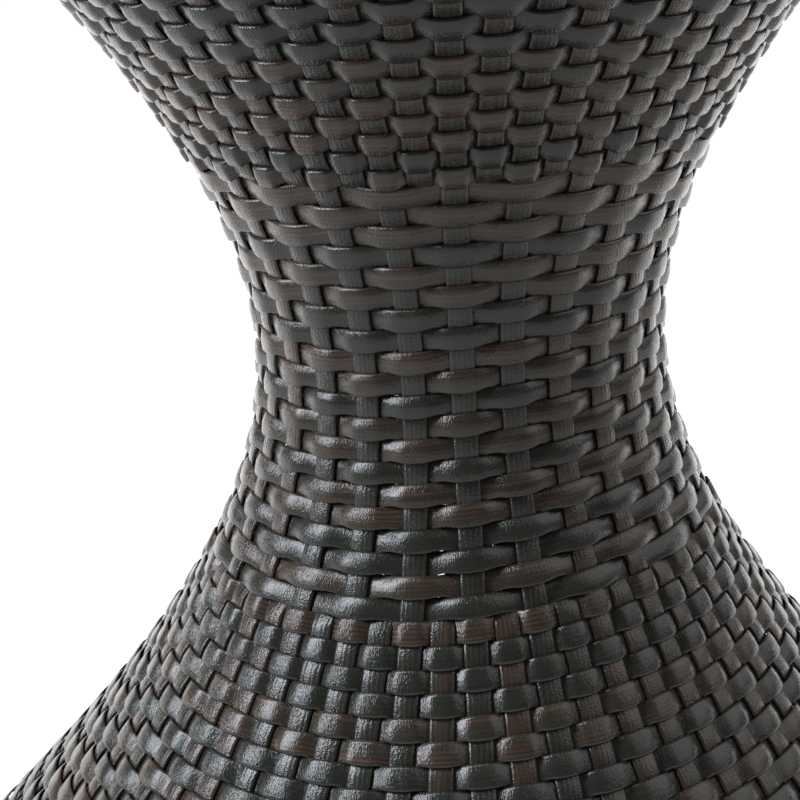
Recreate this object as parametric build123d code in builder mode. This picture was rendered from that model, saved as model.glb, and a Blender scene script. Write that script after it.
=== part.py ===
"""Hourglass side table in woven resin wicker over a welded steel frame.

Origin on the floor at the centre of the foot, +Z up, millimetres.  The outer face of the weave
follows one meridian curve, measured as height above or below the waist; every layer below it
is the same curve moved inwards by a named inset.
"""
import math
import os

from build123d import *

# overall sizes of the table
table_height = 514.0
waist_radius = 78.0
flare_rise = 188.0
flare_run = 157.6

# where the weave changes between half and full stake count, measured from the waist
upper_zone_start = 72.0
lower_zone_start = 75.0

# the flat resin strand and the woven sheet made from it
strand_width = 8.0
strand_thickness = 1.3
stakes_at_waist = 28
top_centre_radius = 24.0
top_inner_radius = 60.0
top_outer_radius = 118.0
foot_wrap_angle = 170.0

# steel frame
ring_tube_radius = 8.0
ring_tube_wall = 1.2
hoop_rod_radius = 4.0
rib_count = 6
rib_width = 16.0
rib_thickness = 4.0
bar_width = 20.0
bar_thickness = 3.0
vent_radius = 1.5

# push-in floor glides
glide_count = 4
glide_height = 6.0
glide_radius = 13.0
glide_stem_radius = 3.5
glide_barb = 0.5

# clearances
layer_gap = 0.2
wrap_gap = 0.3
rib_gap = 0.8
weld_gap = 0.15
join_gap = 0.3
stem_gap = 0.1
pierce_gap = 0.8

# layers below the outer face of the weave
weave_thickness = 2 * strand_thickness
stake_inset = weave_thickness + layer_gap
stake_back = stake_inset + strand_thickness
frame_inset = stake_back + wrap_gap
rib_inset = stake_back + rib_gap
rib_back = rib_inset + rib_thickness
hoop_inset = rib_back + weld_gap + hoop_rod_radius
bend_radius = frame_inset + ring_tube_radius

# heights and the pitch of the stakes
waist_height = (table_height + glide_height) / 2
ring_rise = table_height - bend_radius - waist_height
stake_pitch = 360 / stakes_at_waist
front = -90.0


def flare_radius(h):
    """Radius of the outer face of the weave at height h from the waist."""
    return waist_radius + flare_rise * (math.sqrt(1 + (h / flare_run) ** 2) - 1)


def flare_lean(h):
    """Angle of the outer face from upright at height h, in degrees; positive above the waist."""
    slope = flare_rise * h / flare_run**2 / math.sqrt(1 + (h / flare_run) ** 2)
    return math.degrees(math.atan(slope))


def skin_point(h, inset):
    """Point in the meridian plane, inset along the normal of the outer face at height h."""
    lean = math.radians(flare_lean(h))
    return (flare_radius(h) - inset * math.cos(lean), waist_height + h + inset * math.sin(lean))


def skin_curve(h_start, h_end, inset):
    """Points along the inset meridian from h_start to h_end, about 20 mm apart."""
    steps = max(3, round(abs(h_end - h_start) / 20))
    return [skin_point(h_start + (h_end - h_start) * i / steps, inset) for i in range(steps + 1)]


def skin_heading(h):
    """Upward direction of the meridian at height h."""
    lean = math.radians(flare_lean(h))
    return (math.sin(lean), math.cos(lean))


def polar_point(centre, radius, angle):
    """Point on a circle in the meridian plane."""
    turn = math.radians(angle)
    return (centre[0] + radius * math.cos(turn), centre[1] + radius * math.sin(turn))


def meridian(angle):
    """Upright plane through the axis: local x runs outwards, local y runs up."""
    turn = math.radians(angle)
    return Plane(
        origin=(0, 0, 0),
        x_dir=(math.cos(turn), math.sin(turn), 0),
        z_dir=(math.sin(turn), -math.cos(turn), 0),
    )


# the flare ends where the weave starts to bend round the ring tube
flare_end = ring_rise
for _ in range(60):
    flare_end = ring_rise - bend_radius * math.sin(math.radians(flare_lean(flare_end)))
bend_lean = flare_lean(flare_end)
top_ring_centre = skin_point(flare_end, bend_radius)
foot_ring_centre = skin_point(-flare_end, bend_radius)
ring_radius = top_ring_centre[0]

# glides stand between two stakes of the lower flare
glide_start = front + stake_pitch * round(stakes_at_waist / 8) + stake_pitch / 4
glide_angles = [glide_start + 360 / glide_count * i for i in range(glide_count)]
rib_angles = [front + 360 / rib_count * (i + 0.5) for i in range(rib_count)]

os.makedirs("parts", exist_ok=True)

# Frame: tube ring under the table top, with drain holes for the powder coat
with BuildPart() as top_ring:
    with BuildSketch(Plane.XZ):
        with Locations(top_ring_centre):
            Circle(ring_tube_radius)
            Circle(ring_tube_radius - ring_tube_wall, mode=Mode.SUBTRACT)
    revolve(axis=Axis.Z)
    with BuildSketch(Plane.XY.offset(top_ring_centre[1] - 2 * ring_tube_radius)):
        with PolarLocations(ring_radius, 2):
            Circle(vent_radius)
    extrude(amount=2 * ring_tube_radius, mode=Mode.SUBTRACT)
top_ring.part.label = "top_ring"
export_step(top_ring.part, "parts/top_ring.step")

# Frame: tube ring at the foot, drilled from below for the glide stems
with BuildPart() as foot_ring:
    with BuildSketch(Plane.XZ):
        with Locations(foot_ring_centre):
            Circle(ring_tube_radius)
            Circle(ring_tube_radius - ring_tube_wall, mode=Mode.SUBTRACT)
    revolve(axis=Axis.Z)
    with BuildSketch(Plane.XY):
        with PolarLocations(ring_radius, glide_count, start_angle=glide_start):
            Circle(glide_stem_radius + stem_gap)
    extrude(amount=foot_ring_centre[1], mode=Mode.SUBTRACT)
foot_ring.part.label = "foot_ring"
export_step(foot_ring.part, "parts/foot_ring.step")

# Frame: three rod hoops welded inside the ribs, at the waist and where the stake count changes
hoop_heights = {"upper_hoop": upper_zone_start, "waist_hoop": 0.0, "lower_hoop": -lower_zone_start}
for hoop_name, hoop_height in hoop_heights.items():
    with BuildPart() as hoop:
        with BuildSketch(Plane.XZ):
            with Locations(skin_point(hoop_height, hoop_inset)):
                Circle(hoop_rod_radius)
        revolve(axis=Axis.Z)
    hoop.part.label = hoop_name
    export_step(hoop.part, f"parts/{hoop_name}.step")

# Frame: flat-bar ribs bent to the hourglass, their ends shaped to the two ring tubes
for rib_number, rib_angle in enumerate(rib_angles, 1):
    with BuildPart() as rib:
        with BuildSketch(meridian(rib_angle)):
            with BuildLine():
                rib_face = Spline(
                    skin_curve(-flare_end, flare_end, rib_inset),
                    tangents=[skin_heading(-flare_end), skin_heading(flare_end)],
                )
                rib_rear = Spline(
                    skin_curve(-flare_end, flare_end, rib_back),
                    tangents=[skin_heading(-flare_end), skin_heading(flare_end)],
                )
                Line(rib_face @ 0, rib_rear @ 0)
                Line(rib_face @ 1, rib_rear @ 1)
            make_face()
            with Locations(top_ring_centre, foot_ring_centre):
                Circle(ring_tube_radius + weld_gap, mode=Mode.SUBTRACT)
        extrude(amount=rib_width / 2, both=True)
    rib.part.label = f"rib_{rib_number}"
    export_step(rib.part, f"parts/rib_{rib_number}.step")

# Frame: cross of flat bars under the woven top, one through and two butted against it
bar_top = table_height - frame_inset
bar_reach = math.sqrt(ring_radius**2 - (bar_width / 2) ** 2)
with BuildPart() as top_bar_long:
    with BuildSketch(Plane.XZ):
        with Locations((0, bar_top - bar_thickness / 2)):
            Rectangle(2 * bar_reach, bar_thickness)
        with Locations((bar_reach, top_ring_centre[1]), (-bar_reach, top_ring_centre[1])):
            Circle(ring_tube_radius + weld_gap, mode=Mode.SUBTRACT)
    extrude(amount=bar_width / 2, both=True)
top_bar_long.part.label = "top_bar_long"
export_step(top_bar_long.part, "parts/top_bar_long.step")

for bar_name, bar_angle in (("top_bar_front", front), ("top_bar_rear", front + 180)):
    with BuildPart() as top_bar_short:
        with BuildSketch(meridian(bar_angle)):
            with Locations(((bar_width / 2 + weld_gap + bar_reach) / 2, bar_top - bar_thickness / 2)):
                Rectangle(bar_reach - bar_width / 2 - weld_gap, bar_thickness)
            with Locations((bar_reach, top_ring_centre[1])):
                Circle(ring_tube_radius + weld_gap, mode=Mode.SUBTRACT)
        extrude(amount=bar_width / 2, both=True)
    top_bar_short.part.label = bar_name
    export_step(top_bar_short.part, f"parts/{bar_name}.step")

# Stakes that run the whole height, over the rim and in across the top: every second one reaches
# the middle of the top, the others stop short of it
through_stakes = (
    ("long_stakes", front, top_centre_radius),
    ("middle_stakes", front + stake_pitch, top_inner_radius),
)
for stakes_name, first_angle, inner_radius in through_stakes:
    with BuildPart() as one_stake:
        with BuildSketch(meridian(first_angle)):
            with BuildLine():
                stake_ends = []
                for inset in (stake_inset, stake_back):
                    fold = bend_radius - inset
                    foot_turn = CenterArc(
                        foot_ring_centre, fold, bend_lean, -(bend_lean + foot_wrap_angle)
                    )
                    Spline(
                        skin_curve(-flare_end, flare_end, inset),
                        tangents=[skin_heading(-flare_end), skin_heading(flare_end)],
                    )
                    CenterArc(top_ring_centre, fold, -bend_lean, bend_lean + 90)
                    Line((ring_radius, table_height - inset), (inner_radius, table_height - inset))
                    stake_ends.append(foot_turn @ 1)
                Line(stake_ends[0], stake_ends[1])
                Line((inner_radius, table_height - stake_inset), (inner_radius, table_height - stake_back))
            make_face()
        extrude(amount=strand_width / 2, both=True)
    with BuildPart() as stakes:
        with PolarLocations(0, stakes_at_waist // 2):
            add(one_stake.part, clean=False)
    stakes.part.label = stakes_name
    export_step(stakes.part, f"parts/{stakes_name}.step")

# Stakes added in the upper flare, over the rim and into the outer part of the top
with BuildPart() as one_upper_stake:
    with BuildSketch(meridian(front + stake_pitch / 2)):
        with BuildLine():
            for inset in (stake_inset, stake_back):
                Spline(
                    skin_curve(upper_zone_start, flare_end, inset),
                    tangents=[skin_heading(upper_zone_start), skin_heading(flare_end)],
                )
                CenterArc(top_ring_centre, bend_radius - inset, -bend_lean, bend_lean + 90)
                Line((ring_radius, table_height - inset), (top_outer_radius, table_height - inset))
            Line(skin_point(upper_zone_start, stake_inset), skin_point(upper_zone_start, stake_back))
            Line(
                (top_outer_radius, table_height - stake_inset),
                (top_outer_radius, table_height - stake_back),
            )
        make_face()
    extrude(amount=strand_width / 2, both=True)
with BuildPart() as upper_stakes:
    with PolarLocations(0, stakes_at_waist):
        add(one_upper_stake.part, clean=False)
upper_stakes.part.label = "upper_stakes"
export_step(upper_stakes.part, "parts/upper_stakes.step")

# Stakes added in the lower flare, down and round under the foot ring
with BuildPart() as one_lower_stake:
    with BuildSketch(meridian(front + stake_pitch / 2)):
        with BuildLine():
            stake_ends = []
            for inset in (stake_inset, stake_back):
                foot_turn = CenterArc(
                    foot_ring_centre, bend_radius - inset, bend_lean, -(bend_lean + foot_wrap_angle)
                )
                Spline(
                    skin_curve(-flare_end, -lower_zone_start, inset),
                    tangents=[skin_heading(-flare_end), skin_heading(-lower_zone_start)],
                )
                stake_ends.append(foot_turn @ 1)
            Line(stake_ends[0], stake_ends[1])
            Line(skin_point(-lower_zone_start, stake_inset), skin_point(-lower_zone_start, stake_back))
        make_face()
    extrude(amount=strand_width / 2, both=True)
with BuildPart() as lower_stakes:
    with PolarLocations(0, stakes_at_waist):
        add(one_lower_stake.part, clean=False)
lower_stakes.part.label = "lower_stakes"
export_step(lower_stakes.part, "parts/lower_stakes.step")

# Woven sheet on the sides: three bands of packed weavers, each a closed shell
weave_bands = {
    "lower_weave": (-flare_end, -lower_zone_start - join_gap),
    "waist_weave": (-lower_zone_start, upper_zone_start),
    "upper_weave": (upper_zone_start + join_gap, flare_end),
}
for band_name, (band_low, band_high) in weave_bands.items():
    with BuildPart() as band:
        with BuildSketch(Plane.XZ):
            with BuildLine():
                band_face = Spline(
                    skin_curve(band_low, band_high, 0),
                    tangents=[skin_heading(band_low), skin_heading(band_high)],
                )
                band_rear = Spline(
                    skin_curve(band_low, band_high, weave_thickness),
                    tangents=[skin_heading(band_low), skin_heading(band_high)],
                )
                Line(band_face @ 0, band_rear @ 0)
                Line(band_face @ 1, band_rear @ 1)
            make_face()
        revolve(axis=Axis.Z)
    band.part.label = band_name
    export_step(band.part, f"parts/{band_name}.step")

# Woven sheet rolled over the rim
rim_low = -bend_lean + math.degrees(join_gap / bend_radius)
with BuildPart() as rim_weave:
    with BuildSketch(Plane.XZ):
        with BuildLine():
            CenterArc(top_ring_centre, bend_radius, rim_low, 90 - rim_low)
            CenterArc(top_ring_centre, bend_radius - weave_thickness, rim_low, 90 - rim_low)
            Line(
                polar_point(top_ring_centre, bend_radius, rim_low),
                polar_point(top_ring_centre, bend_radius - weave_thickness, rim_low),
            )
            Line((ring_radius, table_height), (ring_radius, table_height - weave_thickness))
        make_face()
    revolve(axis=Axis.Z)
rim_weave.part.label = "rim_weave"
export_step(rim_weave.part, "parts/rim_weave.step")

# Woven sheet rolled round under the foot ring, pierced for the glide stems
foot_high = bend_lean - math.degrees(join_gap / bend_radius)
with BuildPart() as foot_weave:
    with BuildSketch(Plane.XZ):
        with BuildLine():
            foot_face = CenterArc(foot_ring_centre, bend_radius, foot_high, -(foot_high + foot_wrap_angle))
            foot_rear = CenterArc(
                foot_ring_centre, bend_radius - weave_thickness, foot_high, -(foot_high + foot_wrap_angle)
            )
            Line(foot_face @ 0, foot_rear @ 0)
            Line(foot_face @ 1, foot_rear @ 1)
        make_face()
    revolve(axis=Axis.Z)
    with BuildSketch(Plane.XY):
        with PolarLocations(ring_radius, glide_count, start_angle=glide_start):
            Circle(glide_stem_radius + pierce_gap)
    extrude(amount=glide_height + 2 * weave_thickness, mode=Mode.SUBTRACT)
foot_weave.part.label = "foot_weave"
export_step(foot_weave.part, "parts/foot_weave.step")

# Woven disc of the table top
with BuildPart() as top_weave:
    with BuildSketch(Plane.XY.offset(table_height)):
        Circle(ring_radius - join_gap)
    extrude(amount=-weave_thickness)
top_weave.part.label = "top_weave"
export_step(top_weave.part, "parts/top_weave.step")

# Floor glides: a pad, and a barbed stem pushed through the weave into the foot ring
barb_radius = glide_stem_radius + glide_barb
tube_bore = ring_tube_radius - ring_tube_wall
barb_root = foot_ring_centre[1] - math.sqrt(tube_bore**2 - barb_radius**2) + stem_gap
barb_tip = barb_root + 6 * glide_barb
pad_top = glide_height - stem_gap
for glide_number, glide_angle in enumerate(glide_angles, 1):
    with BuildPart() as glide:
        with BuildSketch(meridian(glide_angle)):
            with BuildLine():
                Polyline(
                    (ring_radius, 0),
                    (ring_radius + glide_radius - glide_height / 4, 0),
                    (ring_radius + glide_radius, glide_height / 4),
                    (ring_radius + glide_radius, pad_top),
                    (ring_radius + glide_stem_radius, pad_top),
                    (ring_radius + glide_stem_radius, barb_root),
                    (ring_radius + barb_radius, barb_root),
                    (ring_radius + glide_stem_radius - 2 * glide_barb, barb_tip),
                    (ring_radius, barb_tip),
                    close=True,
                )
            make_face()
        turn = math.radians(glide_angle)
        glide_axis = Axis((ring_radius * math.cos(turn), ring_radius * math.sin(turn), 0), (0, 0, 1))
        revolve(axis=glide_axis)
    glide.part.label = f"glide_{glide_number}"
    export_step(glide.part, f"parts/glide_{glide_number}.step")
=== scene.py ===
import math

import bpy
import numpy as np
from mathutils import Matrix, Vector


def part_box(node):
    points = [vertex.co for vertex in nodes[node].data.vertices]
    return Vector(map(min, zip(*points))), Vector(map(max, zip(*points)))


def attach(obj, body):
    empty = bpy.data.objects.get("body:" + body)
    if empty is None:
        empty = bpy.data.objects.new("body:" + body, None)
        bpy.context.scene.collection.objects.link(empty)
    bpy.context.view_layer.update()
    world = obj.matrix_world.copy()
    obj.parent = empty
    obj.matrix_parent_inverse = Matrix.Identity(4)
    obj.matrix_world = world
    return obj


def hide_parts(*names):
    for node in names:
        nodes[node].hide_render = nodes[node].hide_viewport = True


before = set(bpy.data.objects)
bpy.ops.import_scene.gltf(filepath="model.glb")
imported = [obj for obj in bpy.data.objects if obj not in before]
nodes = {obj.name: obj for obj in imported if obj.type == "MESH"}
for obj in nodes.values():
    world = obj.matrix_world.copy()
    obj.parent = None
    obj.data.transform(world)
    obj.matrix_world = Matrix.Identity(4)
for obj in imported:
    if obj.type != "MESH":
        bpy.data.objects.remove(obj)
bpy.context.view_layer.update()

# Welded frame: two tube rings, three rod hoops, six bent flat-bar ribs and the cross under the top.
# Mild steel, welded, blasted and powder coated dark brown; baking leaves a satin orange-peel skin.
peel_size = 0.0012
peel_depth = 0.00004
haze_size = 0.036
coat_colours = ("#2a2320", "#352c28")
coat_roughness = (0.38, 0.52)
# most of what a noise texture gives lies between these
noise_low = 0.3
noise_high = 0.7


def linear(hex_colour):
    """Linear red, green, blue and alpha of an sRGB hex colour."""
    srgb = np.array([int(hex_colour[i:i + 2], 16) for i in (1, 3, 5)]) / 255
    return (*np.where(srgb <= 0.04045, srgb / 12.92, ((srgb + 0.055) / 1.055) ** 2.4), 1.0)


def add_node(tree, kind, settings, inputs):
    """Adds a shader node with its settings; an input is a number, a colour or another node's output."""
    made = tree.nodes.new(kind)
    for name, value in settings.items():
        setattr(made, name, value)
    for name, value in inputs.items():
        if isinstance(value, bpy.types.NodeSocket):
            tree.links.new(value, made.inputs[name])
        else:
            made.inputs[name].default_value = value
    return made


def new_material(name):
    """An empty node material and its tree."""
    material = bpy.data.materials.new(name)
    material.use_nodes = True
    material.node_tree.nodes.clear()
    return material, material.node_tree


def dress(part, material):
    """Gives a mesh one material."""
    part.data.materials.clear()
    part.data.materials.append(material)


def powder_coat(name):
    """Powder coat on steel: one dark colour, mottled a little in gloss, over a fine orange peel."""
    material, tree = new_material(name)
    place = add_node(tree, "ShaderNodeTexCoord", {}, {})
    peel = add_node(tree, "ShaderNodeTexNoise", {}, {
        "Vector": place.outputs["Object"], "Scale": 1 / peel_size, "Detail": 2.0})
    haze = add_node(tree, "ShaderNodeTexNoise", {}, {
        "Vector": place.outputs["Object"], "Scale": 1 / haze_size, "Detail": 3.0})
    gloss = add_node(tree, "ShaderNodeMapRange", {}, {
        "Value": haze.outputs["Fac"], "From Min": noise_low, "From Max": noise_high,
        "To Min": coat_roughness[0], "To Max": coat_roughness[1]})
    tint = add_node(tree, "ShaderNodeMix", {"data_type": "RGBA"}, {
        0: haze.outputs["Fac"], 6: linear(coat_colours[0]), 7: linear(coat_colours[1])})
    bump = add_node(tree, "ShaderNodeBump", {}, {
        "Height": peel.outputs["Fac"], "Strength": 0.5, "Distance": peel_depth})
    shader = add_node(tree, "ShaderNodeBsdfPrincipled", {}, {
        "Base Color": tint.outputs[2], "Roughness": gloss.outputs["Result"],
        "Normal": bump.outputs["Normal"], "IOR": 1.5})
    add_node(tree, "ShaderNodeOutputMaterial", {}, {"Surface": shader.outputs["BSDF"]})
    return material


frame_coat = powder_coat("powder_coated_steel")
rib_names = [f"rib_{i}" for i in range(1, 7)]
bar_names = ["top_bar_long", "top_bar_front", "top_bar_rear"]
for name in ["top_ring", "foot_ring", "upper_hoop", "waist_hoop", "lower_hoop"] + rib_names + bar_names:
    dress(nodes[name], frame_coat)

# Floor glides: round pads with a barbed stem, pushed up through the weave into the foot ring.
# Moulded black polyethylene, matt from the spark-eroded mould, a little scuffed underneath.
scuff_size = 0.0048
plastic_colours = ("#18181a", "#26262a")
plastic_roughness = (0.5, 0.68)
# the real grain is about a tenth of this size and is drawn coarser so that it shows
spark_grain = 0.0006
spark_depth = 0.00005


def moulded_plastic(name):
    """Spark-textured black plastic: fine grain in the bump, faint scuffs in the gloss."""
    material, tree = new_material(name)
    place = add_node(tree, "ShaderNodeTexCoord", {}, {})
    grain = add_node(tree, "ShaderNodeTexNoise", {}, {
        "Vector": place.outputs["Object"], "Scale": 1 / spark_grain, "Detail": 2.0})
    scuff = add_node(tree, "ShaderNodeTexNoise", {}, {
        "Vector": place.outputs["Object"], "Scale": 1 / scuff_size, "Detail": 4.0})
    gloss = add_node(tree, "ShaderNodeMapRange", {}, {
        "Value": scuff.outputs["Fac"], "From Min": noise_low, "From Max": noise_high,
        "To Min": plastic_roughness[0], "To Max": plastic_roughness[1]})
    tint = add_node(tree, "ShaderNodeMix", {"data_type": "RGBA"}, {
        0: scuff.outputs["Fac"], 6: linear(plastic_colours[0]), 7: linear(plastic_colours[1])})
    bump = add_node(tree, "ShaderNodeBump", {}, {
        "Height": grain.outputs["Fac"], "Strength": 0.4, "Distance": spark_depth})
    shader = add_node(tree, "ShaderNodeBsdfPrincipled", {}, {
        "Base Color": tint.outputs[2], "Roughness": gloss.outputs["Result"],
        "Normal": bump.outputs["Normal"], "IOR": 1.51})
    add_node(tree, "ShaderNodeOutputMaterial", {}, {"Surface": shader.outputs["BSDF"]})
    return material


glide_plastic = moulded_plastic("moulded_polyethylene")
for name in [f"glide_{i}" for i in range(1, 5)]:
    dress(nodes[name], glide_plastic)

# Stakes: flat strands that stand round the hourglass, go over the rim and run in across the top.
# Extruded polyethylene, fluted along its length and embossed with a leathery grain, charcoal with
# brown veins; bent round the foot ring and held only by the weavers that go over and under them.
waist_radius = 0.078
flare_rise = 0.188
flare_run = 0.1576
upper_zone_start = 0.072
lower_zone_start = 0.075
sheet_inset = 0.00205
ring_tube_radius = 0.008
foot_wrap = math.radians(170)
# points on the parts of the midline, and rounds that fit the flare to the arc round the ring
under_points = 160
flare_points = 1600
over_points = 120
inward_points = 400
fit_rounds = 60

strand_width = 0.0086
strand_thickness = 0.0012
strand_camber = 0.0005
stake_swing = 0.0005
# swings behind the sheet at the pushed-in end of an added stake
stake_tuck = 4.4
stake_round = 12
stake_bluntness = 0.35
stake_steps = 4
whole_stakes = 28

waist_rows = 20
upper_pitch = 0.0072
lower_pitch = 0.0082
top_centre_radius = 0.024
top_inner_radius = 0.060
top_outer_radius = 0.118

table_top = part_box("top_weave")[1].z
foot_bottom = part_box("foot_weave")[0].z
waist_height = (table_top + foot_bottom) / 2
ring_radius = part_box("top_ring")[1].x - ring_tube_radius
top_ring_height = (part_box("top_ring")[0].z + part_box("top_ring")[1].z) / 2
foot_ring_height = (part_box("foot_ring")[0].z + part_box("foot_ring")[1].z) / 2
fold_radius = table_top - top_ring_height - sheet_inset


def flare_lean(height):
    """Angle of the flare from upright, at a height from the waist: the slope of its hyperbola."""
    return np.arctan(flare_rise * height / flare_run**2 / np.sqrt(1 + (height / flare_run) ** 2))


def sheet_midline():
    """Middle of the woven sheet in the meridian plane, from the inside of the foot ring to the middle
    of the top: an arc round the foot ring, the hyperbola radius = waist + rise (sqrt(1 + (height /
    run)^2) - 1) moved in by the inset, an arc round the top ring and a straight line.  Returns the
    distance along it from the waist, then radius, height and outward normal at each point, and the
    distances at which the added stakes of the upper and the lower flare start."""
    ring_rise = top_ring_height - waist_height
    flare_end = ring_rise
    for _ in range(fit_rounds):
        flare_end = ring_rise - (fold_radius + sheet_inset) * np.sin(flare_lean(flare_end))
    turn = flare_lean(flare_end)
    under = np.linspace(-foot_wrap, turn, under_points)[:-1]
    height = np.linspace(-flare_end, flare_end, flare_points)
    lean = flare_lean(height)
    over = np.linspace(-turn, math.pi / 2, over_points)[1:]
    inward = np.linspace(ring_radius, 0, inward_points)[1:]
    flare = waist_radius + flare_rise * (np.sqrt(1 + (height / flare_run) ** 2) - 1)
    radius = np.concatenate([
        ring_radius + fold_radius * np.cos(under), flare - sheet_inset * np.cos(lean),
        ring_radius + fold_radius * np.cos(over), inward])
    level = np.concatenate([
        foot_ring_height + fold_radius * np.sin(under), waist_height + height + sheet_inset * np.sin(lean),
        top_ring_height + fold_radius * np.sin(over), np.full(inward.shape, table_top - sheet_inset)])
    normal_out = np.concatenate([np.cos(under), np.cos(lean), np.cos(over), np.zeros(inward.shape)])
    normal_up = np.concatenate([np.sin(under), -np.sin(lean), np.sin(over), np.ones(inward.shape)])
    along = np.concatenate([[0], np.cumsum(np.hypot(np.diff(radius), np.diff(level)))])
    flare_along = along[under.size:under.size + height.size]
    at_waist = np.interp(0, height, flare_along)
    zones = np.interp([upper_zone_start, -lower_zone_start], height, flare_along)
    return along - at_waist, radius, level, normal_out, normal_up, zones - at_waist


line_along, line_radius, line_level, line_out, line_up, zone_ends = sheet_midline()


def sheet_point(along, depth):
    """Radius and height of a point at a distance along the midline, raised outwards by depth."""
    radius = np.interp(along, line_along, line_radius) + depth * np.interp(along, line_along, line_out)
    level = np.interp(along, line_along, line_level) + depth * np.interp(along, line_along, line_up)
    return radius, level


# rows are numbered down the side from the top of the waist band; rows above it have negative numbers
upper_rows = round((line_along[-1] - zone_ends[0]) / upper_pitch)
lower_rows = round((zone_ends[1] - line_along[0]) / lower_pitch)
row_number = np.arange(-upper_rows, waist_rows + lower_rows)
upper_step = (line_along[-1] - zone_ends[0]) / upper_rows
waist_step = (zone_ends[0] - zone_ends[1]) / waist_rows
lower_step = (zone_ends[1] - line_along[0]) / lower_rows
row_step = np.where(row_number < 0, upper_step, np.where(row_number < waist_rows, waist_step, lower_step))
row_along = line_along[-1] - np.cumsum(row_step) + row_step / 2
row_radius = np.interp(row_along, line_along, line_radius)
on_top = row_along > line_along[-1] - ring_radius
in_waist = (row_number >= 0) & (row_number < waist_rows)
row_stakes = np.where(in_waist, whole_stakes, 2 * whole_stakes)
row_stakes = np.where(on_top & (row_radius < top_outer_radius), whole_stakes, row_stakes)
row_stakes = np.where(on_top & (row_radius < top_inner_radius), whole_stakes // 2, row_stakes)
row_stakes = np.where(on_top & (row_radius < top_centre_radius), 0, row_stakes)
row_shift = np.where(row_number >= waist_rows, 1, 0)

# a row is beaten down on the one below, so it shares the wobble of its four neighbours
row_wobble = 0.0002
wobble_waves = 6
neighbours = 4
row_waves = np.random.default_rng(5).normal(
    0, row_wobble, (2, len(row_number) + neighbours, wobble_waves))
row_waves = sum(row_waves[:, i:i + len(row_number)] for i in range(neighbours + 1)) / (neighbours + 1)
# the rows tilt most below the waist; the tilt fades out round these two places on the midline
row_tilt = 0.0034
tilt_top = 0.020
tilt_top_fade = 0.065
tilt_foot = -0.245
tilt_foot_fade = 0.075


def row_place(of_row, around):
    """Distance of each row along the midline at angles round the table: its level, a tilt (the rows
    were beaten down harder on one side, most below the waist) and a hand-made wobble of six waves.
    The tilt rises and falls along the midline as two hyperbolic tangents."""
    along = row_along[of_row][:, None]
    below_top = 1 - np.tanh((along - tilt_top) / tilt_top_fade)
    above_foot = 1 + np.tanh((along - tilt_foot) / tilt_foot_fade)
    lean = row_tilt * below_top * above_foot / 2
    waves = np.outer(np.arange(1, wobble_waves + 1), around)
    wobble = row_waves[0][of_row] @ np.cos(waves) + row_waves[1][of_row] @ np.sin(waves)
    return along + lean * np.sin(around) + wobble


def strand_section(points, bluntness):
    """Cross-section of the flat strand as shares of its half width and half thickness: a rounded
    oblong, starting at the middle of the back.  It is a circle squared off by raising its cosine to
    the bluntness and its sine to a tenth more; a smaller power gives a squarer edge."""
    turn = -math.pi / 2 + 2 * math.pi * np.arange(points) / points
    across = np.sign(np.cos(turn)) * np.abs(np.cos(turn)) ** bluntness
    through = np.sign(np.sin(turn)) * np.abs(np.sin(turn)) ** (bluntness + 0.1)
    return across, through


# on the bake map: clear share at each end of a strand, and share of its own strip that it fills
bake_margin = 0.002
bake_fill = 0.94


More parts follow.
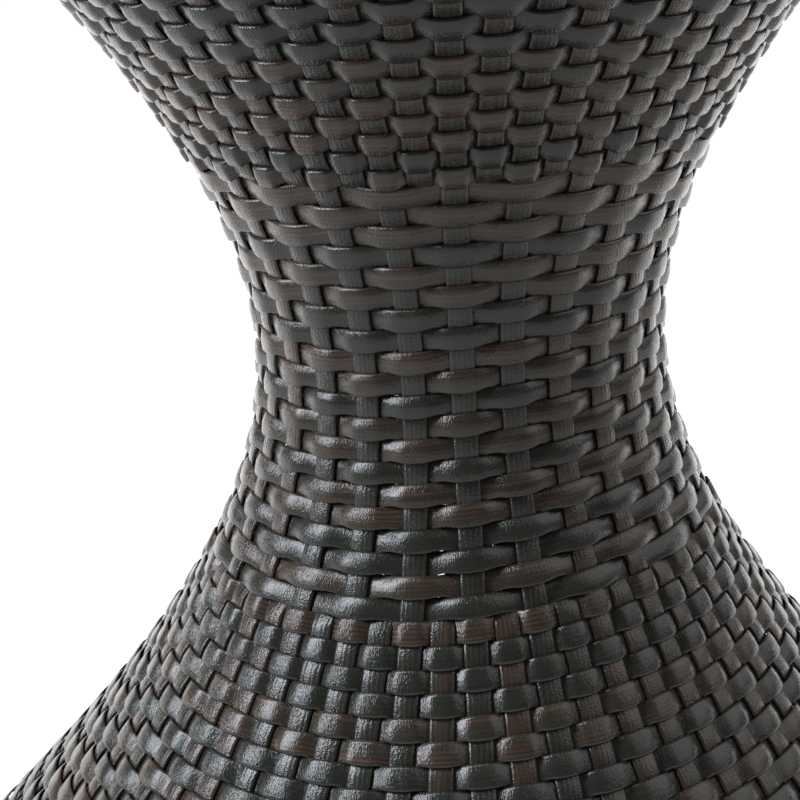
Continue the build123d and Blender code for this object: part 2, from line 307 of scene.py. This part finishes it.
def strand_piece(name, points, section, closed, run, tone, material):
    """Mesh of a group of like strands from their grid of points (strand, step along, point round of
    the section).  The map 'strand' holds metres along and across each strand, 'OFBake' lays the
    strands side by side, and the attribute 'tone' is one number per strand."""
    strands, steps, rounds = points.shape[:3]
    index = np.arange(strands * steps * rounds).reshape(strands, steps, rounds)
    cells = steps if closed else steps - 1
    i = np.arange(cells)
    j = np.arange(rounds)
    here, there = index[:, i], index[:, (i + 1) % steps]
    quads = np.stack([here, here[:, :, (j + 1) % rounds], there[:, :, (j + 1) % rounds], there], -1)
    quads = quads.reshape(-1, 4)
    across, through = section
    side = np.hypot(np.diff(across, append=across[0]) * strand_width / 2,
                    np.diff(through, append=through[0]) * strand_thickness / 2)
    girth = side.sum()
    edge = np.concatenate([[0], np.cumsum(side)]) - girth / 2
    low, step = np.meshgrid(edge[:-1], i)
    breadth = np.stack([low, low + side, low + side, low], -1)
    share = np.stack([step, step, step + 1, step + 1], -1) / cells
    strip = np.arange(strands)[:, None, None, None] + 0.5
    maps = {
        "strand": (share[None] * run[:, None, None, None], np.repeat(breadth[None], strands, 0)),
        "OFBake": (
            np.repeat(bake_margin + (1 - 2 * bake_margin) * share[None], strands, 0),
            (strip + bake_fill * breadth[None] / girth) / strands),
    }
    caps = np.zeros((0, rounds), int)
    if not closed:
        caps = np.concatenate([index[:, 0, ::-1], index[:, -1]])
    mesh = bpy.data.meshes.new(name)
    mesh.vertices.add(index.size)
    mesh.vertices.foreach_set("co", points.reshape(-1).astype(np.float32))
    mesh.loops.add(quads.size + caps.size)
    mesh.loops.foreach_set("vertex_index", np.concatenate([quads.ravel(), caps.ravel()]).astype(np.int32))
    starts = np.concatenate([4 * np.arange(len(quads)), quads.size + rounds * np.arange(len(caps))])
    mesh.polygons.add(len(starts))
    mesh.polygons.foreach_set("loop_start", starts.astype(np.int32))
    mesh.polygons.foreach_set("use_smooth", np.ones(len(starts), bool))
    for map_name, (u, v) in maps.items():
        layer = mesh.uv_layers.new(name=map_name)
        flat = np.stack(np.broadcast_arrays(u, v), -1).reshape(-1, 2)
        ends = np.repeat(flat[:1], caps.size, 0)
        layer.data.foreach_set("uv", np.concatenate([flat, ends]).ravel().astype(np.float32))
    shade = mesh.attributes.new("tone", "FLOAT", "POINT")
    shade.data.foreach_set("value", np.repeat(tone, steps * rounds).astype(np.float32))
    mesh.update(calc_edges=True)
    mesh.validate()
    mesh.materials.append(material)
    piece = bpy.data.objects.new(name, mesh)
    bpy.context.scene.collection.objects.link(piece)
    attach(piece, "root")
    return piece


def stake_group(name, half_steps, first_row, last_row, seed, material, cad_node):
    """Stakes as strips along meridians.  A stake lies half_steps pitches of the full count from the
    front one.  Between two rows its depth swings from one side of the sheet to the other along half
    a cosine; it is in front where its own number plus the row's number is even.  The ends of added
    stakes are pushed in behind the nearest row of the waist."""
    rows = np.arange(first_row, last_row + 1)
    at = np.linspace(first_row - 0.5, last_row + 0.5, (last_row - first_row + 1) * stake_steps + 1)
    around = 2 * math.pi * half_steps / (2 * whole_stakes)
    of_row = rows + upper_rows
    along = np.stack([np.interp(at, rows, one) for one in row_place(of_row, around).T])
    along += np.where(at < first_row, first_row - at, 0) * row_step[of_row[0]]
    along -= np.where(at > last_row, at - last_row, 0) * row_step[of_row[-1]]
    skip = np.maximum(2 * whole_stakes // np.maximum(row_stakes[of_row], 1), 1)
    side = np.cos(math.pi * (half_steps[:, None] // skip + rows + row_shift[of_row]))
    side = np.where(half_steps[:, None] % skip == 0, side, -stake_tuck)
    low = np.clip(np.floor(at).astype(int) - first_row, 0, len(rows) - 1)
    high = np.minimum(low + 1, len(rows) - 1)
    blend = (1 - np.cos(math.pi * np.clip(at - rows[low], 0, 1))) / 2
    depth = stake_swing * (side[:, low] * (1 - blend) + side[:, high] * blend)
    across, through = strand_section(stake_round, stake_bluntness)
    out, up = sheet_point(along[..., None], depth[..., None] + strand_thickness / 2 * through
                          - strand_camber * across**2)
    sideways = across * strand_width / 2
    turn = around[:, None, None]
    points = np.stack([
        out * np.sin(turn) + sideways * np.cos(turn), -out * np.cos(turn) + sideways * np.sin(turn), up], -1)
    run = np.abs(along[:, -1] - along[:, 0])
    tone = np.random.default_rng(seed).random(len(half_steps))
    piece = strand_piece(name, points, (across, through), False, run, tone, material)
    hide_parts(cad_node)


flute_pitch = 0.0017
vein_colour = "#5f3c31"
vein_length = 0.06
# veins on a charcoal strand, as a share of those on a brown one
grey_vein_share = 0.2
# the random number of a flute at which its vein starts to show, and shows in full
vein_chance = (-0.1, 0.6)
# a strand is charcoal below the first tone and brown above the second; clouds along it shift its tone
brown_tones = (0.55, 0.85)
cloud_length = 0.09
cloud_width = 0.006
cloud_shift = 0.5
# the grain is worn shallower in patches of this size, down to this share of its depth
worn_size = 0.012
worn_share = 0.4
# in the pits of the grain and on its tops
resin_roughness = (0.3, 0.22)
# steps through the noise that keep strands, and flutes, from looking alike
strand_apart = 91.7
flute_apart = 3.7


def strand_resin(name, grey, brown, flute_depth, flute_painted_shade, grain, grain_depth, vein_share):
    """Extruded polyethylene strand: charcoal or brown by strand, with flutes along it that carry painted
    shade, darker in their grooves and lighter on their ridges, some of them drawn in red-brown, under an
    embossed grain that breaks the semi-gloss into sparkles in places.
    The size of the grain is given along and across the strand."""
    material, tree = new_material(name)
    place = add_node(tree, "ShaderNodeUVMap", {"uv_map": "strand"}, {})
    tone = add_node(tree, "ShaderNodeAttribute", {"attribute_name": "tone"}, {})
    apart = add_node(tree, "ShaderNodeMath", {"operation": "MULTIPLY"}, {
        0: tone.outputs["Fac"], 1: strand_apart})
    split = add_node(tree, "ShaderNodeSeparateXYZ", {}, {"Vector": place.outputs["UV"]})
    spot = add_node(tree, "ShaderNodeCombineXYZ", {}, {
        "X": split.outputs["X"], "Y": split.outputs["Y"], "Z": apart.outputs["Value"]})
    flutes = add_node(tree, "ShaderNodeMath", {"operation": "DIVIDE"}, {
        0: split.outputs["Y"], 1: flute_pitch})
    flute = add_node(tree, "ShaderNodeMath", {"operation": "FLOOR"}, {0: flutes.outputs["Value"]})
    turn = add_node(tree, "ShaderNodeMath", {"operation": "MULTIPLY"}, {
        0: flutes.outputs["Value"], 1: 2 * math.pi})
    ridge = add_node(tree, "ShaderNodeMath", {"operation": "COSINE"}, {0: turn.outputs["Value"]})
    groove = add_node(tree, "ShaderNodeMapRange", {"interpolation_type": "SMOOTHSTEP"}, {
        "Value": ridge.outputs["Value"], "From Min": 0.3, "From Max": -0.8, "To Min": 0.0, "To Max": 1.0})
    drift = add_node(tree, "ShaderNodeVectorMath", {"operation": "MULTIPLY"}, {
        0: spot.outputs["Vector"], 1: (1 / cloud_length, 1 / cloud_width, 1.0)})
    cloud = add_node(tree, "ShaderNodeTexNoise", {}, {
        "Vector": drift.outputs["Vector"], "Scale": 1.0, "Detail": 2.0})
    lean = add_node(tree, "ShaderNodeMath", {"operation": "MULTIPLY_ADD"}, {
        0: cloud.outputs["Fac"], 1: cloud_shift, 2: tone.outputs["Fac"]})
    browned = add_node(tree, "ShaderNodeMapRange", {"interpolation_type": "SMOOTHSTEP"}, {
        "Value": lean.outputs["Value"], "From Min": brown_tones[0], "From Max": brown_tones[1],
        "To Min": 0.0, "To Max": 1.0})
    body = add_node(tree, "ShaderNodeMix", {"data_type": "RGBA"}, {
        0: browned.outputs["Result"], 6: linear(grey), 7: linear(brown)})
    pick = add_node(tree, "ShaderNodeCombineXYZ", {}, {
        "X": flute.outputs["Value"], "Y": apart.outputs["Value"], "Z": 0.0})
    chance = add_node(tree, "ShaderNodeTexWhiteNoise", {}, {"Vector": pick.outputs["Vector"]})
    drawn = add_node(tree, "ShaderNodeMapRange", {"interpolation_type": "SMOOTHSTEP"}, {
        "Value": chance.outputs["Value"], "From Min": vein_chance[0], "From Max": vein_chance[1],
        "To Min": 0.0, "To Max": 1.0})
    fading = add_node(tree, "ShaderNodeCombineXYZ", {}, {
        "X": split.outputs["X"], "Y": flute.outputs["Value"], "Z": apart.outputs["Value"]})
    length = add_node(tree, "ShaderNodeVectorMath", {"operation": "MULTIPLY"}, {
        0: fading.outputs["Vector"], 1: (1 / vein_length, flute_apart, 1.0)})
    fade = add_node(tree, "ShaderNodeTexNoise", {}, {
        "Vector": length.outputs["Vector"], "Scale": 1.0, "Detail": 1.0})
    strong = add_node(tree, "ShaderNodeMath", {"operation": "MULTIPLY"}, {
        0: drawn.outputs["Result"], 1: fade.outputs["Fac"]})
    showing = add_node(tree, "ShaderNodeMapRange", {}, {
        "Value": browned.outputs["Result"], "From Min": 0.0, "From Max": 1.0,
        "To Min": grey_vein_share * vein_share, "To Max": vein_share})
    vein = add_node(tree, "ShaderNodeMath", {"operation": "MULTIPLY"}, {
        0: strong.outputs["Value"], 1: showing.outputs["Result"]})
    red = add_node(tree, "ShaderNodeMath", {"operation": "MULTIPLY", "use_clamp": True}, {
        0: vein.outputs["Value"], 1: groove.outputs["Result"]})
    # painted shade: the colour is darkened in the grooves between the flutes and lightened on their ridges
    shade = add_node(tree, "ShaderNodeMapRange", {}, {
        "Value": ridge.outputs["Value"], "From Min": -1.0, "From Max": 1.0, "To Min": 1 - flute_painted_shade,
        "To Max": 1 + flute_painted_shade / 2})
    body_with_painted_shade = add_node(tree, "ShaderNodeMix", {"data_type": "RGBA", "blend_type": "MULTIPLY"}, {
        0: 1.0, 6: body.outputs[2], 7: shade.outputs["Result"]})
    colour = add_node(tree, "ShaderNodeMix", {"data_type": "RGBA"}, {
        0: red.outputs["Value"], 6: body_with_painted_shade.outputs[2], 7: linear(vein_colour)})
    tiny = add_node(tree, "ShaderNodeVectorMath", {"operation": "MULTIPLY"}, {
        0: spot.outputs["Vector"], 1: (1 / grain[0], 1 / grain[1], 1.0)})
    pits = add_node(tree, "ShaderNodeTexNoise", {}, {
        "Vector": tiny.outputs["Vector"], "Scale": 1.0, "Detail": 1.0, "Roughness": 0.6})
    fluted = add_node(tree, "ShaderNodeBump", {}, {
        "Height": ridge.outputs["Value"], "Strength": 1.0, "Distance": flute_depth})
    worn = add_node(tree, "ShaderNodeTexNoise", {}, {
        "Vector": spot.outputs["Vector"], "Scale": 1 / worn_size, "Detail": 1.0})
    bite = add_node(tree, "ShaderNodeMapRange", {"interpolation_type": "SMOOTHSTEP"}, {
        "Value": worn.outputs["Fac"], "From Min": 0.35, "From Max": 0.65,
        "To Min": worn_share, "To Max": 1.0})
    grained = add_node(tree, "ShaderNodeBump", {}, {
        "Height": pits.outputs["Fac"], "Strength": bite.outputs["Result"], "Distance": grain_depth,
        "Normal": fluted.outputs["Normal"]})
    gloss = add_node(tree, "ShaderNodeMapRange", {}, {
        "Value": pits.outputs["Fac"], "From Min": noise_low, "From Max": noise_high,
        "To Min": resin_roughness[0], "To Max": resin_roughness[1]})
    shader = add_node(tree, "ShaderNodeBsdfPrincipled", {}, {
        "Base Color": colour.outputs[2], "Roughness": gloss.outputs["Result"],
        "Normal": grained.outputs["Normal"], "IOR": 1.51})
    add_node(tree, "ShaderNodeOutputMaterial", {}, {"Surface": shader.outputs["BSDF"]})
    return material


# painted shade: both resins paint the flute grooves darker and the ridges lighter, the stakes twice as
# strongly as the weavers
stake_resin = strand_resin(
    "extruded_polyethylene_stake", grey="#272b26", brown="#2d2d27", flute_depth=0.00002, flute_painted_shade=0.5,
    grain=(0.0006, 0.00077), grain_depth=0.0003, vein_share=1.2)
whole = 2 * np.arange(whole_stakes)
middle_row = row_number[np.argmax(row_stakes >= whole_stakes)]
centre_row = row_number[np.argmax(row_stakes >= whole_stakes // 2)]
outer_row = row_number[np.argmax(row_stakes >= 2 * whole_stakes)]
last_row = row_number[-1]
stake_group("long_stake_strands", whole[::2], centre_row, last_row, 11, stake_resin, "long_stakes")
stake_group("middle_stake_strands", whole[1::2], middle_row, last_row, 12, stake_resin, "middle_stakes")
stake_group("upper_stake_strands", whole + 1, outer_row, 0, 13, stake_resin, "upper_stakes")
stake_group("lower_stake_strands", whole + 1, waist_rows - 1, last_row, 14, stake_resin, "lower_stakes")

# Weavers: one ring of the same strand after another, woven over one stake and under the next.
# The waist band is woven on the whole stakes only, so its floats are the longest; neighbouring rows
# go opposite ways round each stake and are beaten down until their edges meet.
weaver_swing = 0.0016
upper_swing = 0.0019
# half width of a row at the waist; elsewhere it changes by the change of row step over the next value
weaver_crown = 0.0042
step_per_crown = 1.8
weaver_spread = 0.0007
# tight rows, then the looser rows of the lower flare
weaver_camber = (0.00015, 0.00008)
weaver_cup = (0.0006, 0.0004)
weaver_roll = (0.0009, 0.00005)
weaver_bluntness = (0.25, 0.5)
weaver_bend = (7, 3.5)
# half length that lies flat on a stake, and the largest share of a stake pitch it may take
weaver_flat = 0.0035
flat_limit = 0.3
weaver_round = 12
# points along a row for each stake; fewer on the rim, the piece with the most crossings
waist_steps = 12
flare_steps = 10
rim_steps = 8
slack_spread = 0.06
row_slack = np.random.default_rng(6).normal(1, slack_spread, len(row_number))
# share of its half width a row loses between stakes; rows of the top and near the foot lie closer
upper_taper = 0.25
waist_taper = 0.22
loose_taper = 0.15
foot_taper = 0.03
# the upper edge is held by the next row and narrows only by this share of it
upper_edge_taper = 0.25
fade_rows = (waist_rows + 11, waist_rows + 16)
row_taper = np.where(
    row_number < waist_rows, waist_taper, np.interp(row_number, fade_rows, (loose_taper, foot_taper)))
row_taper = np.where(row_number < 0, upper_taper, row_taper)
row_taper = np.where(on_top, 0, row_taper)
row_swing = np.where((row_number < 0) & ~on_top, upper_swing, weaver_swing) * row_slack


def weaver_rows(name, first_row, last_row, steps_per_stake, seed, material, *cad_nodes):
    """Weaver rings.  Round the table the depth of a row is a cosine with its tops cut off smoothly:
    flat in front of one stake and behind the next, straight between, bent at their edges.  Behind a
    stake the strand is pressed flat and a little wider; between stakes it twists and so looks
    narrower, its lower edge most.  The row above rolls its upper edge back by the fourth power of the
    height on it, and between stakes pushes it back further, by the square; the looser rows stay
    flatter.  The section bends along the midline of the sheet."""
    rows = np.arange(first_row, last_row + 1)
    of_row = rows + upper_rows
    loose = int(first_row >= waist_rows)
    stakes = row_stakes[of_row][:, None]
    steps = int(max(stakes.max(), whole_stakes // 2)) * steps_per_stake
    around = 2 * math.pi * np.arange(steps) / steps
    gap = 2 * math.pi * row_radius[of_row][:, None] / np.maximum(stakes, 1)
    gain = 1 / np.cos(math.pi * np.minimum(weaver_flat / gap, flat_limit))
    wave = -gain * np.cos(math.pi * (
        around * stakes / (2 * math.pi) + rows[:, None] + row_shift[of_row][:, None]))
    bend = weaver_bend[loose]
    over = wave / (1 + np.abs(wave) ** bend) ** (1 / bend) * (1 + gain**bend) ** (1 / bend) / gain
    over = np.where(stakes > 0, over, 0)
    dive = np.clip((1 - over) / 2, 0, 1)[..., None]
    between = np.where(stakes > 0, 1 - over**2, 0)[..., None]
    crown = weaver_crown + (row_step[of_row][:, None, None] - waist_step) / step_per_crown
    across, through = strand_section(weaver_round, weaver_bluntness[loose])
    along = row_place(of_row, around)[..., None]
    pinch = 1 - row_taper[of_row][:, None, None] * np.where(across > 0, upper_edge_taper, 1) * between
    along = along + (crown * pinch + weaver_spread * dive**2) * across
    swing = row_swing[of_row][:, None, None]
    upper = np.maximum(across, 0)
    tucked = weaver_cup[loose] * between * upper**2 + weaver_roll[loose] * upper**4
    dome = weaver_camber[loose] * across**2
    depth = swing * over[..., None] + strand_thickness / 2 * through - dome - tucked
    out, up = sheet_point(along, depth)
    turn = around[:, None]
    points = np.stack([out * np.sin(turn), -out * np.cos(turn), up], -1)
    run = 2 * math.pi * row_radius[of_row]
    tone = np.random.default_rng(seed).random(len(rows))
    piece = strand_piece(name, points, (across, through), True, run, tone, material)
    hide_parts(*cad_nodes)


weaver_resin = strand_resin(
    "extruded_polyethylene_weaver", grey="#242823", brown="#2b2b24", flute_depth=0.000004, flute_painted_shade=0.25,
    grain=(0.00045, 0.0014), grain_depth=0.00023, vein_share=1.1)
weaver_rows("waist_weavers", 0, waist_rows - 1, waist_steps, 21, weaver_resin, "waist_weave")

# Upper flare: woven on the whole and the added stakes, up to where the sheet starts to roll over
# the rim.  Same resin strand, in three pieces only to keep each of a handy size.
rim_turn = math.pi / 2 + flare_lean(top_ring_height - waist_height)
rim_start = line_along[-1] - ring_radius - rim_turn * fold_radius
rim_row = row_number[row_along < rim_start][0]
upper_third = rim_row // 3
weaver_rows("upper_weavers_low", upper_third, -1, flare_steps, 22, weaver_resin, "upper_weave")
weaver_rows(
    "upper_weavers_mid", 2 * upper_third, upper_third - 1, flare_steps, 23, weaver_resin, "upper_weave")
weaver_rows(
    "upper_weavers_high", rim_row, 2 * upper_third - 1, flare_steps, 30, weaver_resin, "upper_weave")

# Rim and top: the rows roll over the ring tube and go on inwards as a flat disc, on fewer stakes
# towards the middle, and close in a small plain coil.
weaver_rows("rim_weavers", outer_row, rim_row - 1, rim_steps, 24, weaver_resin, "rim_weave", "top_weave")
weaver_rows("top_weavers_outer", middle_row, outer_row - 1, flare_steps, 25, weaver_resin, "top_weave")
weaver_rows("top_weavers_inner", -upper_rows, middle_row - 1, flare_steps, 26, weaver_resin, "top_weave")

# Lower flare and foot: the same weave on all stakes, rolled round under the foot ring and cut off
# inside it.
foot_turn = foot_wrap + flare_lean(waist_height - foot_ring_height)
foot_start = line_along[0] + foot_turn * fold_radius
foot_row = row_number[row_along > foot_start][-1]
lower_middle = (waist_rows + foot_row) // 2
weaver_rows("lower_weavers_high", waist_rows, lower_middle, flare_steps, 27, weaver_resin, "lower_weave")
weaver_rows("lower_weavers_low", lower_middle + 1, foot_row, flare_steps, 28, weaver_resin, "lower_weave")
weaver_rows("foot_weavers", foot_row + 1, last_row, flare_steps, 29, weaver_resin, "foot_weave")

# Floor: a plain pale studio floor in matt white paint that also glows, laid flat and far wider than the
# picture.
# It looks evenly bright to the camera; to the table it is grey and glows dim in front and brighter behind,
# and under the table it has a painted shadow: dark grey and not glowing.
floor_size = 12.0
floor_shadow = (0.215, 0.245)
floor_front = -0.25
floor_rear = 0.6
# glow that lights the table, dim in front and brighter behind; the next is the even glow the camera sees
floor_glow_to_table = (0.5, 2.15)
floor_seen = 0.9
floor_mesh = bpy.data.meshes.new("studio_floor")
corner = floor_size / 2
floor_corners = [(-corner, -corner, 0), (corner, -corner, 0), (corner, corner, 0), (-corner, corner, 0)]
floor_mesh.from_pydata(floor_corners, [], [(0, 1, 2, 3)])
floor = bpy.data.objects.new("studio_floor", floor_mesh)
bpy.context.scene.collection.objects.link(floor)
floor_paint, floor_tree = new_material("matt_white_paint")
seen = add_node(floor_tree, "ShaderNodeLightPath", {}, {})
floor_place = add_node(floor_tree, "ShaderNodeTexCoord", {}, {})
floor_split = add_node(floor_tree, "ShaderNodeSeparateXYZ", {}, {"Vector": floor_place.outputs["Object"]})
floor_back = add_node(floor_tree, "ShaderNodeMapRange", {"interpolation_type": "SMOOTHSTEP"}, {
    "Value": floor_split.outputs["Y"], "From Min": floor_front, "From Max": floor_rear,
    "To Min": floor_glow_to_table[0], "To Max": floor_glow_to_table[1]})
floor_tone = add_node(floor_tree, "ShaderNodeMix", {"data_type": "RGBA"}, {
    0: seen.outputs["Is Camera Ray"], 6: linear("#8a8a8a"), 7: linear("#f4f4f4")})
floor_reach = add_node(floor_tree, "ShaderNodeVectorMath", {"operation": "LENGTH"}, {
    0: floor_place.outputs["Object"]})
# painted shadow: near and under the table the floor is painted dark grey and its glow fades out
floor_outside_painted_shadow = add_node(floor_tree, "ShaderNodeMapRange", {"interpolation_type": "SMOOTHSTEP"}, {
    "Value": floor_reach.outputs["Value"], "From Min": floor_shadow[0], "From Max": floor_shadow[1],
    "To Min": 0.0, "To Max": 1.0})
floor_colour = add_node(floor_tree, "ShaderNodeMix", {"data_type": "RGBA"}, {
    0: floor_outside_painted_shadow.outputs["Result"], 6: linear("#303030"), 7: floor_tone.outputs[2]})
floor_glow = add_node(floor_tree, "ShaderNodeMix", {"data_type": "FLOAT"}, {
    0: seen.outputs["Is Camera Ray"], 2: floor_back.outputs["Result"], 3: floor_seen})
floor_strength = add_node(floor_tree, "ShaderNodeMath", {"operation": "MULTIPLY"}, {
    0: floor_glow.outputs[0], 1: floor_outside_painted_shadow.outputs["Result"]})
floor_shader = add_node(floor_tree, "ShaderNodeBsdfPrincipled", {}, {
    "Base Color": floor_colour.outputs[2], "Roughness": 0.9, "Specular IOR Level": 0.0,
    "Emission Color": (1, 1, 1, 1), "Emission Strength": floor_strength.outputs["Value"]})
add_node(floor_tree, "ShaderNodeOutputMaterial", {}, {"Surface": floor_shader.outputs["BSDF"]})
floor_mesh.materials.append(floor_paint)

# Light: a tall strip soft box on the camera's left, a broad dim panel on its right, and a surround
# that lights the table only from low behind, as a lit white backdrop does.
sky_glow = 1.85
sky_top_share = 0.15
sky_dim = 0.08
# shares of a direction that point back and up, between which the surround brightens or dims
sky_back_span = (0.45, 0.85)
sky_up_span = (0.05, 0.45)
world = bpy.data.worlds.new("studio")
bpy.context.scene.world = world
world.use_nodes = True
sky_tree = world.node_tree
sky_tree.nodes.clear()
sky_place = add_node(sky_tree, "ShaderNodeTexCoord", {}, {})
sky_split = add_node(sky_tree, "ShaderNodeSeparateXYZ", {}, {"Vector": sky_place.outputs["Generated"]})
sky_back = add_node(sky_tree, "ShaderNodeMapRange", {"interpolation_type": "SMOOTHSTEP"}, {
    "Value": sky_split.outputs["Y"], "From Min": sky_back_span[0], "From Max": sky_back_span[1],
    "To Min": 0.0, "To Max": sky_glow})
sky_high = add_node(sky_tree, "ShaderNodeMapRange", {"interpolation_type": "SMOOTHSTEP"}, {
    "Value": sky_split.outputs["Z"], "From Min": sky_up_span[0], "From Max": sky_up_span[1],
    "To Min": 1.0, "To Max": sky_top_share})
sky_strength = add_node(sky_tree, "ShaderNodeMath", {"operation": "MULTIPLY_ADD"}, {
    0: sky_back.outputs["Result"], 1: sky_high.outputs["Result"], 2: sky_dim})
sky_seen = add_node(sky_tree, "ShaderNodeLightPath", {}, {})
sky_shown = add_node(sky_tree, "ShaderNodeMix", {"data_type": "FLOAT"}, {
    0: sky_seen.outputs["Is Camera Ray"], 2: sky_strength.outputs["Value"], 3: 1.0})
sky = add_node(sky_tree, "ShaderNodeBackground", {}, {
    "Color": linear("#ffffff"), "Strength": sky_shown.outputs[0]})
add_node(sky_tree, "ShaderNodeOutputWorld", {}, {"Surface": sky.outputs["Background"]})


def soft_box(name, side, elevation, distance, width, height, power, colour):
    """Rectangular area light aimed at the waist; side is degrees round from the camera, left negative."""
    lamp = bpy.data.lights.new(name, "AREA")
    lamp.color = linear(colour)[:3]
    lamp.shape = "RECTANGLE"
    lamp.size = width
    lamp.size_y = height
    lamp.energy = power
    placed = bpy.data.objects.new(name, lamp)
    bpy.context.scene.collection.objects.link(placed)
    turn, rise = math.radians(side), math.radians(elevation)
    target = Vector((0, 0, waist_height))
    offset = Vector((math.sin(turn) * math.cos(rise), -math.cos(turn) * math.cos(rise), math.sin(rise)))
    placed.location = target + distance * offset
    placed.rotation_euler = (-offset).to_track_quat("-Z", "Y").to_euler()


soft_box(
    "key_light", side=-75, elevation=37, distance=1.6, width=0.5, height=1.7, power=44, colour="#f0f6ff")
soft_box(
    "fill_light", side=85, elevation=42, distance=2.0, width=2.4, height=2.4, power=22, colour="#ffffff")

# Camera: a little above the waist and close in, so that the top and the foot are out of the picture.
# It is turned slightly on its own axis and aimed to one side and below the waist, as the picture is.
camera_lens = 73.4
camera_sensor = 36.0
camera_distance = 0.6204
camera_elevation = math.radians(16.73)
camera_side = math.radians(-0.45)
camera_roll = math.radians(-3.45)
aim_left = 0.0240
aim_drop = 0.0300
camera_aim = Vector((-aim_left, 0.0, waist_height - aim_drop))
camera_data = bpy.data.cameras.new("camera")
camera_data.sensor_width = camera_sensor
camera_data.lens = camera_lens
camera_data.clip_start = 0.01
camera = bpy.data.objects.new("camera", camera_data)
bpy.context.scene.collection.objects.link(camera)
level_reach = camera_distance * math.cos(camera_elevation)
stand = Vector((
    level_reach * math.sin(camera_side), -level_reach * math.cos(camera_side),
    waist_height + camera_distance * math.sin(camera_elevation)))
forward = (camera_aim - stand).normalized()
right = forward.cross(Vector((0, 0, 1))).normalized()
up = right.cross(forward)
picture_right = math.cos(camera_roll) * right + math.sin(camera_roll) * up
picture_up = -math.sin(camera_roll) * right + math.cos(camera_roll) * up
facing = Matrix((picture_right, picture_up, -forward)).transposed().to_4x4()
camera.matrix_world = Matrix.Translation(stand) @ facing
bpy.context.scene.camera = camera
bpy.context.scene.view_settings.view_transform = "Standard"
